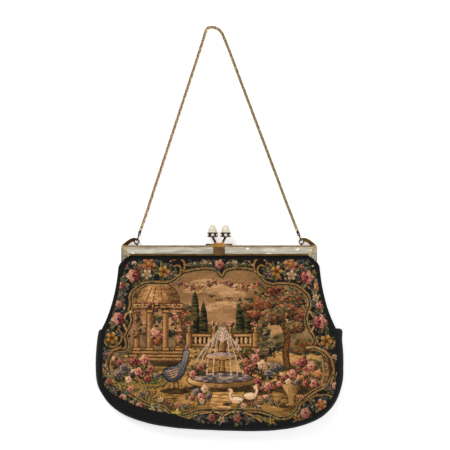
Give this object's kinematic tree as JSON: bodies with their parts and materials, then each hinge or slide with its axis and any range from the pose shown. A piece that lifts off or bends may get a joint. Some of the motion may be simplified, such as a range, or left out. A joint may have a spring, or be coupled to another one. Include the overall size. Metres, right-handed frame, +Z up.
{
  "type": "petit point purse",
  "caption": "Small evening purse with an embroidered front panel, a hinged gilt frame with mother-of-pearl inlay, a kiss-lock clasp with pearl knobs and a link chain, lying on its back.",
  "frame": {"origin": "middle of the purse without its chain, on the table under its back panel", "axes": "+X across the bag, +Y from the bottom of the bag to the clasp, +Z up from the table through the front panel"},
  "size_m": [0.204, 0.3343, 0.03],
  "materials": {
    "petit_point": "tent stitch embroidery in many colours on a black ground",
    "black_ground": "black tent stitch and black rep cloth",
    "lining_satin": "satin",
    "frame_gold": "polished gilt, slightly worn",
    "dark_brass": "dark patina",
    "chain_gold": "worn gilt",
    "nacre": "polished mother-of-pearl",
    "clasp_pearl": "polished mother-of-pearl bead",
    "stones": "cut glass"
  },
  "bodies": {
    "bag": {"rear_frame": "frame_gold", "back_panel": "black_ground", "front_panel": "petit_point", "gusset": "black_ground", "front_lining": "lining_satin", "back_lining": "lining_satin", "rear_clasp": "frame_gold", "rear_clasp_stones": "stones", "rear_clasp_pearl": "clasp_pearl", "left_hinge_pin": "dark_brass", "right_hinge_pin": "dark_brass", "left_ear": "frame_gold", "right_ear": "frame_gold", "left_end_ring": "chain_gold", "right_end_ring": "chain_gold", "left_end_cap": "dark_brass", "right_end_cap": "dark_brass", "chain": "chain_gold"},
    "front_half": {"front_frame": "frame_gold", "left_bar_inlay": "nacre", "right_bar_inlay": "nacre", "left_side_inlay": "nacre", "right_side_inlay": "nacre", "front_clasp": "frame_gold", "front_clasp_stones": "stones", "front_clasp_pearl": "clasp_pearl"}
  },
  "joints": [
    {"name": "frame_hinge", "type": "hinge", "parent": "bag", "child": "front_half", "pos_m": [0, 0.0236, 0.0075], "axis": [1, 0, 0], "range_deg": [0, 60], "deforming": ["front_panel", "front_lining"]}
  ]
}
